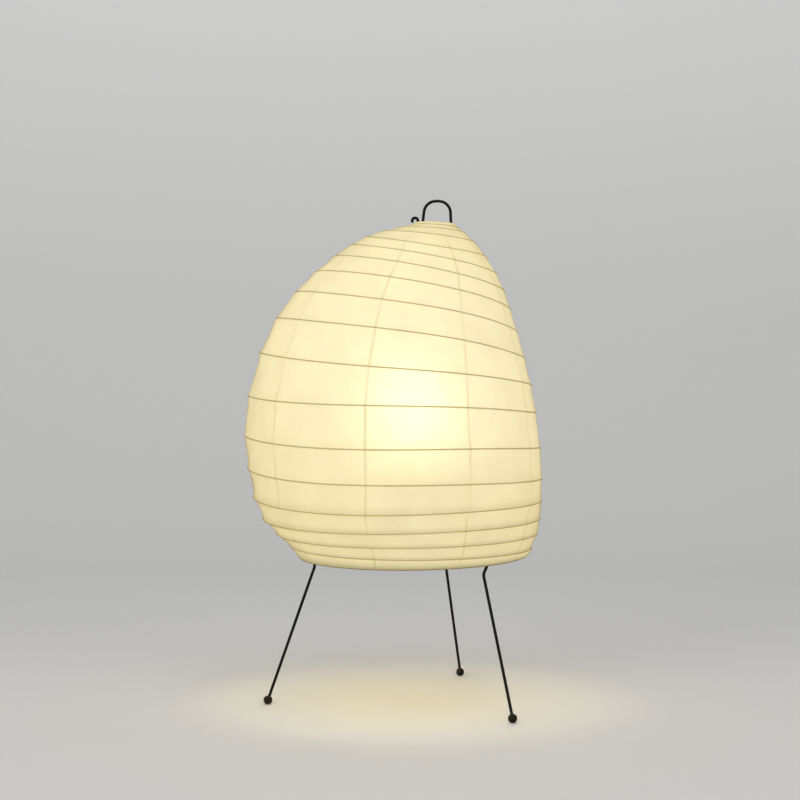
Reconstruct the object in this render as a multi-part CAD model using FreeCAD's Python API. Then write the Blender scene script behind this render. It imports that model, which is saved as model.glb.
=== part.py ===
import FreeCAD, Part
import math
import os

os.makedirs("parts", exist_ok=True)

Vector = FreeCAD.Vector

# Paper table lamp: a lopsided egg of paper gores round one spiral bamboo rib, on a three-legged wire stand.
# Lengths are millimetres, angles are degrees, +Z is up and the photographed front faces -Y.

# Shade form at eleven stations, counted in rib turns up from the bottom hoop. The two sides are (x, z) places
# from the stand axis and the level of shade_floor_gap, just under the shade's edge: the full side bulges to
# the left and the steep side falls to the right. Each section tips up towards the back, and the seams swing
# round, by the angles given.
shade_floor_gap = 122.0
station_turns = (0.0, 1.5, 3.5, 5.0, 6.5, 8.0, 10.0, 12.5, 15.0, 16.5, 17.5)
full_side_places = (
    (-98.5, 2.3), (-109.5, 18.3), (-134.5, 44.8), (-142.5, 80.0), (-144.5, 123.5), (-132.0, 178.0),
    (-102.0, 229.0), (-61.5, 265.5), (-28.0, 282.0), (-6.0, 286.8), (0.6, 290.0),
)
steep_side_places = (
    (98.5, 5.0), (107.0, 23.5), (110.5, 52.0), (110.5, 83.0), (106.0, 126.0), (99.5, 160.5),
    (87.0, 204.0), (72.5, 244.5), (49.5, 277.0), (38.5, 285.6), (36.0, 288.6),
)
tip_angles = (1.5, 2.1, 2.8, 2.5, 0.5, -0.8, -3.0, -1.0, 0.5, 0.5, 0.0)
swing_angles = (-9.0, -7.0, -3.5, -1.0, 0.0, 0.0, -1.0, -4.0, -9.0, -12.0, -13.0)

# Paper, rib and hoops
gore_count = 9
seam_angle = 20.0
seam_gap = 0.2
paper_thickness = 0.3
rib_start_turn = 0.5
rib_top_turn = 17.1
rib_width = 1.1
rib_gap = 0.4
rib_end_share = 0.3
bottom_hoop_wire = 2.0
top_hoop_wire = 1.4
hoop_gap = 0.2

# Stand wires and ball feet
wire_diameter = 2.5
leg_angles = (69.0, 189.0, 309.0)
foot_circle_radius = 125.5
foot_diameter = 7.6
foot_flat_depth = 0.2
knee_insets = (16.0, 13.3, 6.6)
knee_drops = (12.0, 3.2, 9.4)
knee_bend = 5.0
notch_gap = 0.2
notch_overhang = 0.3
notch_rise = 4.2
notch_inner_rise = 0.8
notch_bend = 2.6
spoke_run = 1.4
spoke_bend = 5.0

# Hub, stem and nuts
hub_rise = 12.35
hub_diameter = 30.0
hub_thickness = 8.0
wire_seat_depth = 8.0
wire_seat_gap = 0.05
stem_diameter = 10.0
stem_bore = 7.0
stem_length = 26.0
stem_gap = 0.05
nut_across_flats = 14.0
nut_thickness = 3.5

# Stretcher wire with its carrying loop and hook
stretcher_bulb_gap = 6.75
stretcher_lower_bend = 10.0
neck_rise = 3.4
neck_length = 15.0
neck_bend = 12.0
hoop_wire_gap = 0.25
loop_rise = 20.1
loop_full_splay = 2.4
loop_steep_splay = 0.8
loop_top_flat = 1.0
return_depth = 5.0
return_bend = 2.0
hook_rise = 5.7
hook_paper_gap = 0.3
u_bend_share = 0.999

# Lampholder
holder_wall = 2.2
sleeve_room = 4.0
cap_height = 18.0
cap_floor = 6.0
cap_neck_diameter = 18.0
cap_ledge = 3.0
sleeve_height = 40.0
sleeve_lip = 1.6
holder_gap = 0.2
insert_height = 12.0
shell_bore = 26.6
shell_wall = 0.5
shell_height = 22.0
contact_width = 6.0
contact_foot = 3.5
contact_ramp = 2.1
contact_pad = 5.6
contact_thickness = 0.5
contact_rise = 3.0
terminal_diameter = 3.0
terminal_head = 5.5
terminal_head_height = 2.0
terminal_depth = 6.0
terminal_spacing = 18.0

# Bulb
bulb_length = 110.0
bulb_diameter = 60.0
bulb_glass_wall = 0.8
bulb_neck_length = 3.5
bulb_cap_wall = 0.35
bulb_cap_height = 24.0
bulb_cap_chamfer = 1.8
screw_gap = 0.25
neck_gap = 0.3
neck_in_cap = 5.0
insulator_diameter = 17.0
insulator_height = 3.0
tip_diameter = 9.5
tip_height = 1.2
tip_crown = 0.7
bulb_seat_gap = 0.1
mount_gap = 0.2
mount_flare_height = 6.0
mount_stem_diameter = 7.0
mount_stem_height = 30.0
filament_wire = 0.8
filament_leads = 4.4
filament_lead_rise = 4.4
filament_spread = 28.0
filament_spread_rise = 16.5
filament_top_width = 14.0
filament_rise = 22.0
filament_bend = 2.0


# Shade surface

top_turn = station_turns[-1]


def through_stations(points):
    curve = Part.BSplineCurve()
    curve.interpolate(Points=points, Parameters=list(station_turns))
    return curve


full_side = through_stations([Vector(x, 0, shade_floor_gap + z) for x, z in full_side_places])
steep_side = through_stations([Vector(x, 0, shade_floor_gap + z) for x, z in steep_side_places])
section_lie = through_stations([Vector(*lie) for lie in zip(station_turns, tip_angles, swing_angles)])


def section_frame(turn):
    # Each section is a circle from the full side to the steep side, tipped towards the back.
    full = full_side.value(turn)
    steep = steep_side.value(turn)
    centre = (full + steep) * 0.5
    across = (steep - full) * 0.5
    tip = math.radians(section_lie.value(turn).y)
    depth = Vector(0, math.cos(tip), math.sin(tip)) * across.Length
    return centre, across, depth


def shade_point(turn, angle):
    centre, across, depth = section_frame(turn)
    swing = math.radians(angle + section_lie.value(turn).z)
    return centre + across * math.cos(swing) + depth * math.sin(swing)


def shade_normal(turn, angle):
    # The outward normal, from small steps round and up the paper.
    step = 0.02
    above = shade_point(min(turn + step, top_turn), angle)
    below = shade_point(max(turn - step, 0.0), angle)
    ahead = shade_point(turn, angle + step)
    behind = shade_point(turn, angle - step)
    return (ahead - behind).cross(above - below).normalize()


def inside_paper(turn, angle, depth):
    return shade_point(turn, angle) - shade_normal(turn, angle) * depth


# The rib starts on a seam low at the back right and climbs clockwise, one gore at each crossing.
gore_angle = 360.0 / gore_count
first_rib_turn = rib_start_turn - seam_angle / 360.0
rib_crossings = math.floor((rib_top_turn - first_rib_turn) * gore_count)


def rib_turn(crossing):
    return first_rib_turn + crossing / gore_count


def rib_angle(crossing):
    return seam_angle - crossing * gore_angle


# Shapes that several pieces share

def polar(radius, angle, height):
    return Vector(radius * math.cos(math.radians(angle)), radius * math.sin(math.radians(angle)), height)


def solid_of(shape):
    return shape if shape.ShapeType == "Solid" else shape.Solids[0]


def turned(points):
    # A closed profile of (radius, height) points and arcs, turned about the stand axis.
    edges = []
    start = None
    for entry in points:
        corner = Vector(entry[-2], 0, entry[-1])
        if start is not None and len(entry) == 2:
            edges.append(Part.LineSegment(start, corner).toShape())
        if start is not None and len(entry) == 4:
            middle = Vector(entry[0], 0, entry[1])
            edges.append(Part.Arc(start, middle, corner).toShape())
        start = corner
    first = Vector(points[0][-2], 0, points[0][-1])
    edges.append(Part.LineSegment(start, first).toShape())
    face = Part.Face(Part.Wire(edges))
    return solid_of(face.revolve(Vector(0, 0, 0), Vector(0, 0, 1), 360))


def tube(outer_diameter, inner_diameter, low, high):
    inner = inner_diameter / 2
    outer = outer_diameter / 2
    return turned([(inner, low), (outer, low), (outer, high), (inner, high)])


def upright_arc(start, end):
    # The middle of an arc from start that arrives at end straight up, as (radius, height).
    across = start[0] - end[0]
    rise = end[1] - start[1]
    radius = (across * across + rise * rise) / (2 * across)
    centre = Vector(end[0] + radius, 0, end[1])
    from_start = (Vector(start[0], 0, start[1]) - centre).normalize()
    from_end = (Vector(end[0], 0, end[1]) - centre).normalize()
    middle = centre + (from_start + from_end).normalize() * abs(radius)
    return middle.x, middle.z


def bent_path(points, radii):
    # Straight runs through the points, joined by tangent arcs of the given radii.
    edges = []
    start = points[0]
    for corner, after, radius in zip(points[1:-1], points[2:], radii):
        back = (start - corner).normalize()
        onward = (after - corner).normalize()
        half = back.getAngle(onward) / 2
        reach = radius / math.tan(half)
        first = corner + back * reach
        last = corner + onward * reach
        bisector = (back + onward).normalize()
        middle = corner + bisector * (radius / math.sin(half) - radius)
        edges.append(Part.LineSegment(start, first).toShape())
        edges.append(Part.Arc(first, middle, last).toShape())
        start = last
    edges.append(Part.LineSegment(start, points[-1]).toShape())
    return Part.Wire(edges)


def round_wire(path, start, direction, diameter):
    section = Part.Wire(Part.Circle(start, direction, diameter / 2).toShape())
    return solid_of(path.makePipeShell([section], True, False))


def bent_wire(points, radii, diameter):
    path = bent_path(points, radii)
    return round_wire(path, points[0], points[1] - points[0], diameter)


# Paper gores, creased along the rib where it crosses them

def ring_of_edges(outer, inner):
    edges = [
        Part.Arc(outer[0], outer[1], outer[2]).toShape(),
        Part.LineSegment(outer[2], inner[2]).toShape(),
        Part.Arc(inner[2], inner[1], inner[0]).toShape(),
        Part.LineSegment(inner[0], outer[0]).toShape(),
    ]
    return Part.Wire(edges)


def gore_angles(turn, first_crossing):
    # A gore's two edges stop half a seam gap short of the seam lines.
    radius = section_frame(turn)[1].Length
    half_gap = math.degrees(seam_gap / 2 / radius)
    near = rib_angle(first_crossing) - half_gap
    far = rib_angle(first_crossing + 1) + half_gap
    return near, (near + far) / 2, far


def crease_section(crossing):
    turns = (rib_turn(crossing), rib_turn(crossing + 0.5), rib_turn(crossing + 1))
    angles = gore_angles(turns[1], crossing)
    outer = [shade_point(turn, angle) for turn, angle in zip(turns, angles)]
    inner = [inside_paper(turn, angle, paper_thickness) for turn, angle in zip(turns, angles)]
    return ring_of_edges(outer, inner)


def edge_section(turn, first_crossing):
    # The paper's own edges lie flat in the plane of their hoop.
    centre, across, depth = section_frame(turn)
    keep = 1 - paper_thickness / across.Length
    outer = [shade_point(turn, angle) for angle in gore_angles(turn, first_crossing)]
    inner = [centre + (point - centre) * keep for point in outer]
    return ring_of_edges(outer, inner)


def run_out_section(crossing):
    # Past the rib's upper end the crease dies out across one gore, into the straight line of the far seam.
    below = crossing + 1 - gore_count
    share = (rib_turn(crossing + 1) - rib_turn(below)) / (top_turn - rib_turn(below))
    near, middle, far = gore_angles(rib_turn(crossing + 0.5), crossing)

    def run_out(depth):
        low = inside_paper(rib_turn(below), far, depth)
        high = inside_paper(top_turn, far, depth)
        flat = low + (high - low) * share
        start = inside_paper(rib_turn(crossing), near, depth)
        full = inside_paper(rib_turn(crossing + 0.5), middle, depth)
        crest = inside_paper(rib_turn(crossing + 1), far, depth)
        return [start, full + (flat - crest) * 0.5, flat]

    return ring_of_edges(run_out(0.0), run_out(paper_thickness))


def paper_gore(first_crossing):
    sections = [edge_section(0.0, first_crossing)]
    for crossing in range(first_crossing, rib_crossings, gore_count):
        sections.append(crease_section(crossing))
    if rib_crossings % gore_count == first_crossing:
        sections.append(run_out_section(rib_crossings))
    sections.append(edge_section(top_turn, first_crossing))
    return solid_of(Part.makeLoft(sections, True, True))


# Bamboo rib: one unbroken square strip along quarter-turn biarcs, straight for a width at both ends.
# It starts and ends a small share of a gore away from the seams.

rib_depth = paper_thickness + rib_gap + rib_width / 2
rib_stride = gore_count // 4


def rib_point(crossing):
    return inside_paper(rib_turn(crossing), rib_angle(crossing), rib_depth)


def rib_direction(crossing):
    step = 0.01
    return (rib_point(crossing + step) - rib_point(crossing - step)).normalize()


def tangent_arc(start, direction, end):
    # The arc that leaves start along direction and ends at end.
    chord = end - start
    along = chord * (1 / chord.Length)
    turn = direction.getAngle(along)
    side = (direction - along * direction.dot(along)).normalize()
    middle = (start + end) * 0.5 + side * (chord.Length / 2 * math.tan(turn / 2))
    return Part.Arc(start, middle, end)


def biarc(start, start_direction, end, end_direction):
    # Two arcs that meet smoothly, with equal tangent lengths at both ends.
    chord = end - start
    both = start_direction + end_direction
    spread = 2 * (1 - start_direction.dot(end_direction))
    slope = 2 * chord.dot(both)
    reach = (-slope + math.sqrt(slope * slope + 4 * spread * chord.dot(chord))) / (2 * spread)
    joint = (start + start_direction * reach + end - end_direction * reach) * 0.5
    leaving = tangent_arc(start, start_direction, joint)
    arriving = tangent_arc(end, end_direction * -1, joint)
    middle = arriving.value((arriving.FirstParameter + arriving.LastParameter) / 2)
    return [leaving, Part.Arc(joint, middle, end)]


def rib_curves():
    curves = []
    stops = list(range(rib_stride, rib_crossings, rib_stride))
    stops = [rib_end_share] + stops + [rib_crossings - rib_end_share]
    start = rib_point(stops[0])
    heading = rib_direction(stops[0])
    curves.append(Part.LineSegment(start - heading * rib_width, start))
    for near, far in zip(stops[:-1], stops[1:]):
        curves += biarc(rib_point(near), rib_direction(near), rib_point(far), rib_direction(far))
    end = rib_point(stops[-1])
    curves.append(Part.LineSegment(end, end + rib_direction(stops[-1]) * rib_width))
    return curves


def bamboo_rib(curves):
    path = Part.Wire([curve.toShape() for curve in curves])
    start = curves[0].StartPoint
    heading = (curves[0].EndPoint - start).normalize()
    out = shade_normal(rib_turn(rib_end_share), rib_angle(rib_end_share))
    up = heading.cross(out).normalize()
    out = up.cross(heading).normalize()
    half = rib_width / 2
    corners = [
        start + out * half + up * half,
        start - out * half + up * half,
        start - out * half - up * half,
        start + out * half - up * half,
    ]
    section = Part.makePolygon(corners + corners[:1])
    return solid_of(path.makePipeShell([section], True, False))


def least_rib_gap(curves):
    # Points along the rib, compared with those from half a turn to two turns away.
    per_curve = 6
    points = []
    for curve in curves:
        first = curve.FirstParameter
        step = (curve.LastParameter - first) / per_curve
        points += [curve.value(first + step * part) for part in range(per_curve)]
    half_turn = per_curve * gore_count // rib_stride
    nearest = min(
        points[one].distanceToPoint(points[other])
        for one in range(len(points))
        for other in range(one + half_turn, min(one + 4 * half_turn, len(points)))
    )
    return nearest - rib_width


# Hoops in the two hems

def hoop_frame(turn, wire, rise):
    # Centre, normal and radius of the wire hoop that lies inside the paper's edge at this turn.
    centre, across, depth = section_frame(turn)
    normal = across.cross(depth).normalize()
    inset = paper_thickness + hoop_gap + wire / 2
    return centre + normal * rise, normal, across.Length - inset


def hoop(frame, wire):
    centre, normal, radius = frame
    return solid_of(Part.makeTorus(radius, wire / 2, centre, normal))


bottom_hoop_frame = hoop_frame(0.0, bottom_hoop_wire, bottom_hoop_wire / 2)
top_hoop_frame = hoop_frame(top_turn, top_hoop_wire, -top_hoop_wire / 2)


# Stand: legs notched round the bottom hoop, set in a hub, with a ball on each foot

wire_radius = wire_diameter / 2
foot_height = foot_diameter / 2 - foot_flat_depth
hub_height = bottom_hoop_frame[0].z + hub_rise


def hoop_height_at(angle):
    centre, normal, radius = bottom_hoop_frame
    out = polar(1.0, angle, 0.0)
    return centre.z - radius * (normal.x * out.x + normal.y * out.y) / normal.z


def knee_point(leg):
    angle = leg_angles[leg]
    return polar(bottom_hoop_frame[2] - knee_insets[leg], angle, hoop_height_at(angle) - knee_drops[leg])


def foot_point(leg):
    return polar(foot_circle_radius, leg_angles[leg], foot_height)


def leg_wire(leg):
    angle = leg_angles[leg]
    hoop_radius = bottom_hoop_frame[2]
    hoop_z = hoop_height_at(angle)
    clear = bottom_hoop_wire / 2 + notch_gap + wire_radius
    inside = hoop_radius - clear
    over = hoop_radius + notch_overhang
    over_z = hoop_z + notch_rise
    route = [
        (hub_diameter / 2 - wire_seat_depth, hub_height),
        (over - (hub_height - over_z) - spoke_run, hub_height),
        (over, over_z),
        (inside, hoop_z + notch_inner_rise),
        (inside, hoop_z - clear),
    ]
    points = [polar(radius, angle, height) for radius, height in route]
    points += [knee_point(leg), foot_point(leg)]
    bends = [spoke_bend, notch_bend, notch_bend, notch_bend, knee_bend]
    return bent_wire(points, bends, wire_diameter)


def leg_direction(leg):
    return (knee_point(leg) - foot_point(leg)).normalize()


def foot_ball(leg):
    centre = foot_point(leg)
    ball = Part.makeSphere(foot_diameter / 2, centre)
    below = Part.makeBox(foot_diameter, foot_diameter, foot_diameter)
    below.translate(Vector(centre.x - foot_diameter / 2, centre.y - foot_diameter / 2, -foot_diameter))
    bore_start = centre - leg_direction(leg) * wire_seat_gap
    seat = Part.makeCylinder(wire_radius + wire_seat_gap, foot_diameter, bore_start, leg_direction(leg))
    return solid_of(ball.cut(below).cut(seat))


def stand_hub():
    low = hub_height - hub_thickness / 2
    hub = tube(hub_diameter, stem_diameter + 2 * stem_gap, low, low + hub_thickness)
    for angle in leg_angles + (0.0,):
        inner = hub_diameter / 2 - wire_seat_depth - wire_seat_gap
        start = polar(inner, angle, hub_height)
        seat = Part.makeCylinder(wire_radius + wire_seat_gap, hub_diameter, start, polar(1.0, angle, 0.0))
        hub = hub.cut(seat)
    return solid_of(hub)


def stretcher_wire():
    # Up beside the bulb, through the top hoop, round the carrying loop, and over the hoop's full side.
    centre = top_hoop_frame[0]
    bore = top_hoop_frame[2] - top_hoop_wire / 2 - hoop_wire_gap - wire_radius
    stand_off = bulb_diameter / 2 + stretcher_bulb_gap + wire_radius
    neck_low = bulb_top + neck_rise
    steep_leg = centre.x + bore
    hook_inner = centre.x - bore
    hook_outer = full_side.value(top_turn).x - hoop_wire_gap - wire_radius
    hook_height = centre.z + hook_rise
    hook_bend = (hook_inner - hook_outer) / 2
    inner_left = hook_inner + 2 * return_bend
    loop_right = steep_leg - loop_steep_splay
    loop_left = inner_left + loop_full_splay
    loop_height = centre.z + loop_rise
    loop_bend = (loop_right - loop_left - loop_top_flat) / 2
    hoop_z = centre.z
    return_z = hoop_z - return_depth
    paper_z = full_side.value(top_turn).z
    route = [
        (hub_diameter / 2 - wire_seat_depth, hub_height),
        (stand_off, hub_height),
        (stand_off, neck_low),
        (steep_leg, neck_low + neck_length),
        (steep_leg, hoop_z),
        (loop_right, loop_height),
        (loop_left, loop_height),
        (inner_left, hoop_z),
        (inner_left, return_z),
        (hook_inner, return_z),
        (hook_inner, hook_height),
        (hook_outer, hook_height),
        (hook_outer, paper_z + hook_paper_gap),
    ]
    points = [Vector(x, 0, z) for x, z in route]
    tight_return = return_bend * u_bend_share
    tight_hook = hook_bend * u_bend_share
    bends = [
        stretcher_lower_bend, neck_bend, neck_bend, neck_bend, loop_bend, loop_bend, neck_bend,
        tight_return, tight_return, tight_hook, tight_hook,
    ]
    return bent_wire(points, bends, wire_diameter)


# Stem and nuts

hub_low = hub_height - hub_thickness / 2
hub_top = hub_height + hub_thickness / 2
cap_low = hub_top + nut_thickness
stem_low = cap_low + cap_floor - stem_length


def threaded_stem():
    return tube(stem_diameter, stem_bore, stem_low, stem_low + stem_length)


def hex_nut(low):
    corner = nut_across_flats / math.sqrt(3)
    corners = [polar(corner, 60 * side, low) for side in range(6)]
    hexagon = Part.Face(Part.makePolygon(corners + corners[:1]))
    nut = hexagon.extrude(Vector(0, 0, nut_thickness))
    bore = Part.makeCylinder(stem_diameter / 2 + stem_gap, nut_thickness, Vector(0, 0, low))
    return solid_of(nut.cut(bore))


def stem_nuts():
    return Part.Compound([hex_nut(hub_low - nut_thickness), hex_nut(hub_top)])


# Lampholder, from the cap up

cap_top = cap_low + cap_height
sleeve_top = cap_top + sleeve_height
ledge_z = cap_top - cap_ledge
insert_top = ledge_z + insert_height
shell_outer = shell_bore / 2 + shell_wall
sleeve_inner = shell_outer + sleeve_room
holder_radius = sleeve_inner + holder_wall
insert_radius = sleeve_inner - holder_gap


def holder_cap():
    # A dished cup on a threaded neck, with a ledge inside its rim for the insert.
    bore = stem_diameter / 2 + stem_gap
    floor_z = cap_low + cap_floor
    hollow = insert_radius - cap_ledge
    neck = (cap_neck_diameter / 2, cap_low)
    dome_top = (holder_radius, ledge_z)
    return turned([
        (bore, cap_low),
        neck,
        upright_arc(neck, dome_top) + dome_top,
        (holder_radius, cap_top),
        (sleeve_inner, cap_top),
        (sleeve_inner, ledge_z),
        (hollow, ledge_z),
        (hollow, floor_z),
        (bore, floor_z),
    ])


def holder_sleeve():
    # A plain skirt with a rounded, turned-in lip round the mouth.
    mouth = sleeve_inner - sleeve_lip
    lip_low = sleeve_top - sleeve_lip
    corner_cut = sleeve_lip * (1 - math.cos(math.radians(45)))
    return turned([
        (sleeve_inner, cap_top),
        (holder_radius, cap_top),
        (holder_radius, lip_low),
        (holder_radius - corner_cut, sleeve_top - corner_cut, holder_radius - sleeve_lip, sleeve_top),
        (mouth, sleeve_top),
        (mouth, lip_low),
        (sleeve_inner, lip_low),
    ])


def terminal_places():
    return [Vector(terminal_spacing / 2, 0, ledge_z), Vector(-terminal_spacing / 2, 0, ledge_z)]


def holder_insert():
    block = Part.makeCylinder(insert_radius, insert_height, Vector(0, 0, ledge_z))
    for place in terminal_places():
        block = block.cut(Part.makeCylinder(terminal_diameter / 2 + stem_gap, terminal_depth, place))
    return solid_of(block)


def terminal_screws():
    screws = []
    for place in terminal_places():
        shank = Part.makeCylinder(terminal_diameter / 2, terminal_depth - stem_gap, place)
        head_low = place - Vector(0, 0, terminal_head_height)
        head = Part.makeCylinder(terminal_head / 2, terminal_head_height, head_low)
        screws.append(solid_of(head.fuse(shank).removeSplitter()))
    return Part.Compound(screws)


def screw_shell():
    return tube(2 * shell_outer, shell_bore, insert_top, insert_top + shell_height)


def centre_contact():
    # A sprung strip: flat on the insert at one end, lifted to a pad under the bulb's tip.
    pad_z = insert_top + contact_rise - contact_thickness
    pad_end = contact_pad / 2
    ramp_foot = -pad_end - contact_ramp
    lower = [
        Vector(ramp_foot - contact_foot, 0, insert_top),
        Vector(ramp_foot, 0, insert_top),
        Vector(-pad_end, 0, pad_z),
        Vector(pad_end, 0, pad_z),
    ]
    upper = [point + Vector(0, 0, contact_thickness) for point in reversed(lower)]
    side = Part.Face(Part.makePolygon(lower + upper + lower[:1]))
    side.translate(Vector(0, -contact_width / 2, 0))
    return solid_of(side.extrude(Vector(0, contact_width, 0)))


# Bulb, seated with its tip just above the centre contact

bulb_low = insert_top + contact_rise + bulb_seat_gap
insulator_low = bulb_low + tip_height
cap_shell_low = insulator_low + insulator_height
cap_shell_top = cap_shell_low + bulb_cap_height
glass_low = cap_shell_top - neck_in_cap
bulb_top = bulb_low + bulb_length
globe_z = bulb_top - bulb_diameter / 2
bulb_cap_radius = shell_bore / 2 - screw_gap
bulb_neck_radius = bulb_cap_radius - bulb_cap_wall - neck_gap


def bulb_outline(inset):
    # Half outline of the globe and its swept neck, moved inwards by inset. The sweep meets the globe and a
    # short straight neck above the cap smoothly.
    globe = bulb_diameter / 2
    neck = bulb_neck_radius
    shoulder_z = cap_shell_top + bulb_neck_length
    drop = globe_z - shoulder_z
    shoulder = (drop ** 2 + neck ** 2 - globe ** 2) / (2 * (globe - neck))
    meet_angle = math.atan2(-drop, neck + shoulder)
    globe_r = globe - inset
    shoulder_r = shoulder + inset
    meet = (globe_r * math.cos(meet_angle), globe_z + globe_r * math.sin(meet_angle))
    sweep = math.pi + meet_angle / 2
    sweep_middle = (
        neck + shoulder + shoulder_r * math.cos(sweep),
        shoulder_z + shoulder_r * math.sin(sweep),
    )
    crown = (math.pi / 2 + meet_angle) / 2
    crown_middle = (globe_r * math.cos(crown), globe_z + globe_r * math.sin(crown))
    return neck - inset, shoulder_z, sweep_middle, meet, crown_middle, globe_z + globe_r


def bulb_glass():
    neck, neck_z, sweep, meet, crown, top = bulb_outline(0.0)
    in_neck, in_neck_z, in_sweep, in_meet, in_crown, in_top = bulb_outline(bulb_glass_wall)
    return turned([
        (in_neck, glass_low),
        (neck, glass_low),
        (neck, neck_z),
        sweep + meet,
        crown + (0.0, top),
        (0.0, in_top),
        in_crown + in_meet,
        in_sweep + (in_neck, in_neck_z),
    ])


def bulb_cap():
    # A rolled shell, turned in at the bottom to hold the insulator.
    outer = bulb_cap_radius
    inner = outer - bulb_cap_wall
    grip = insulator_diameter / 2
    inner_low = cap_shell_low + bulb_cap_wall
    return turned([
        (grip, cap_shell_low),
        (outer - bulb_cap_chamfer, cap_shell_low),
        (outer, cap_shell_low + bulb_cap_chamfer),
        (outer, cap_shell_top),
        (inner, cap_shell_top),
        (inner, inner_low + bulb_cap_chamfer),
        (inner - bulb_cap_chamfer, inner_low),
        (grip, inner_low),
    ])


def bulb_insulator():
    grip = insulator_diameter / 2
    return turned([
        (0.0, insulator_low),
        (tip_diameter / 2, insulator_low),
        (grip, cap_shell_low),
        (grip, cap_shell_low + bulb_cap_wall),
        (0.0, cap_shell_low + bulb_cap_wall),
    ])


def bulb_tip():
    # A bead of solder with a shallow round crown.
    radius = tip_diameter / 2
    ball = (radius * radius + tip_crown * tip_crown) / (2 * tip_crown)
    half = math.asin(radius / ball) / 2
    return turned([
        (0.0, bulb_low),
        (ball * math.sin(half), bulb_low + ball * (1 - math.cos(half)), radius, bulb_low + tip_crown),
        (radius, insulator_low),
        (0.0, insulator_low),
    ])


mount_top = glass_low + mount_flare_height + mount_stem_height


def bulb_mount():
    # The flared glass foot sealed in the neck, drawn in to the stem that holds the leads.
    flare = (bulb_neck_radius - bulb_glass_wall - mount_gap, glass_low)
    stem = (mount_stem_diameter / 2, glass_low + mount_flare_height)
    return turned([
        (0.0, glass_low),
        flare,
        upright_arc(flare, stem) + stem,
        (mount_stem_diameter / 2, mount_top),
        (0.0, mount_top),
    ])


def bulb_filament():
    lead = filament_leads / 2
    spread = filament_spread / 2
    top = filament_top_width / 2
    lead_z = mount_top + filament_lead_rise
    spread_z = mount_top + filament_spread_rise
    top_z = mount_top + filament_rise
    right_side = [(top, top_z), (spread, spread_z), (lead, lead_z), (lead, mount_top)]
    left_side = [(-x, z) for x, z in reversed(right_side)]
    points = [Vector(x, 0, z) for x, z in left_side + right_side]
    return bent_wire(points, [filament_bend] * (len(points) - 2), filament_wire)


# Every piece is moved along X together, so that the shade's two sides stand equally far from the origin.

reach_steps = 200
reach_turns = [top_turn * step / reach_steps for step in range(reach_steps + 1)]
reach_left = min(full_side.value(turn).x for turn in reach_turns)
reach_right = max(steep_side.value(turn).x for turn in reach_turns)
axis_offset = Vector(-(reach_left + reach_right) / 2, 0, 0)


def export(name, shape):
    placed = shape.copy()
    placed.translate(axis_offset)
    placed.exportStep("parts/" + name + ".step")
    print(name, "valid", placed.isValid(), "solids", len(placed.Solids), "volume", round(placed.Volume, 2))


for gore in range(gore_count):
    export("paper_gore_" + str(gore + 1), paper_gore(gore))

rib_path = rib_curves()
export("bamboo_rib", bamboo_rib(rib_path))
print("least gap from rib to rib", round(least_rib_gap(rib_path), 2))

export("bottom_hoop", hoop(bottom_hoop_frame, bottom_hoop_wire))
export("top_hoop", hoop(top_hoop_frame, top_hoop_wire))

for leg in range(len(leg_angles)):
    export("leg_wire_" + str(leg + 1), leg_wire(leg))
    export("foot_ball_" + str(leg + 1), foot_ball(leg))

export("stand_hub", stand_hub())
export("stretcher_wire", stretcher_wire())
export("threaded_stem", threaded_stem())
export("stem_nuts", stem_nuts())
export("holder_cap", holder_cap())
export("holder_sleeve", holder_sleeve())
export("holder_insert", holder_insert())
export("terminal_screws", terminal_screws())
export("screw_shell", screw_shell())
export("centre_contact", centre_contact())
export("bulb_glass", bulb_glass())
export("bulb_cap", bulb_cap())
export("bulb_insulator", bulb_insulator())
export("bulb_tip", bulb_tip())
export("bulb_mount", bulb_mount())
export("bulb_filament", bulb_filament())
print("stand axis at x", round(axis_offset.x, 3), "bulb from", round(bulb_low, 2), "to", round(bulb_top, 2))
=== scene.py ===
import math

import bpy
import numpy as np
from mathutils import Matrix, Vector


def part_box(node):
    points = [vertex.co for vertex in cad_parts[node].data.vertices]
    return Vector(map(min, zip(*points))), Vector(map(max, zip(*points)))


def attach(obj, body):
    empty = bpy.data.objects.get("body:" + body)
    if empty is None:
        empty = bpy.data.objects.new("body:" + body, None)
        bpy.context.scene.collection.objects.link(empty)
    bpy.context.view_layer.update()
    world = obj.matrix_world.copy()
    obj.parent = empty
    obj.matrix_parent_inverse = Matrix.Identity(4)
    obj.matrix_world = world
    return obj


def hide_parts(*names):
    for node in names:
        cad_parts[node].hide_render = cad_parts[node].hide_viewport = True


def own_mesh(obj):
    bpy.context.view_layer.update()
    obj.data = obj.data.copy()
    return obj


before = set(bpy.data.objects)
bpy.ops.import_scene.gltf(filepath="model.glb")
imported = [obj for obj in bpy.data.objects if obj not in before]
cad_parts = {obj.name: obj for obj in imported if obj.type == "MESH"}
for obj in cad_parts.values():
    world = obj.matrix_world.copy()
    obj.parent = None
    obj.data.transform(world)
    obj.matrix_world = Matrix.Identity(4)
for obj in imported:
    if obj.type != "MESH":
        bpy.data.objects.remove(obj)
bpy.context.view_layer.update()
mm = 0.001  # the frame is in metres

standBody = "stand"
ringBody = "top_ring"
bulbBody = "bulb"

hubLow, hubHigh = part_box("stand_hub")
axisX = ((Vector(hubLow) + Vector(hubHigh)) / 2).x  # the stand's upright axis
globeRadius = 30 * mm
bulbMiddle = Vector((axisX, 0.0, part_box("bulb_glass")[1][2] - globeRadius))
noiseRange = (0.3, 0.7)  # where most of a noise's values lie


# Node helpers

def setInputs(tree, node, inputs):
    for key, value in inputs.items():
        if isinstance(value, bpy.types.NodeSocket):
            tree.links.new(value, node.inputs[key])
        else:
            node.inputs[key].default_value = value


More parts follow.
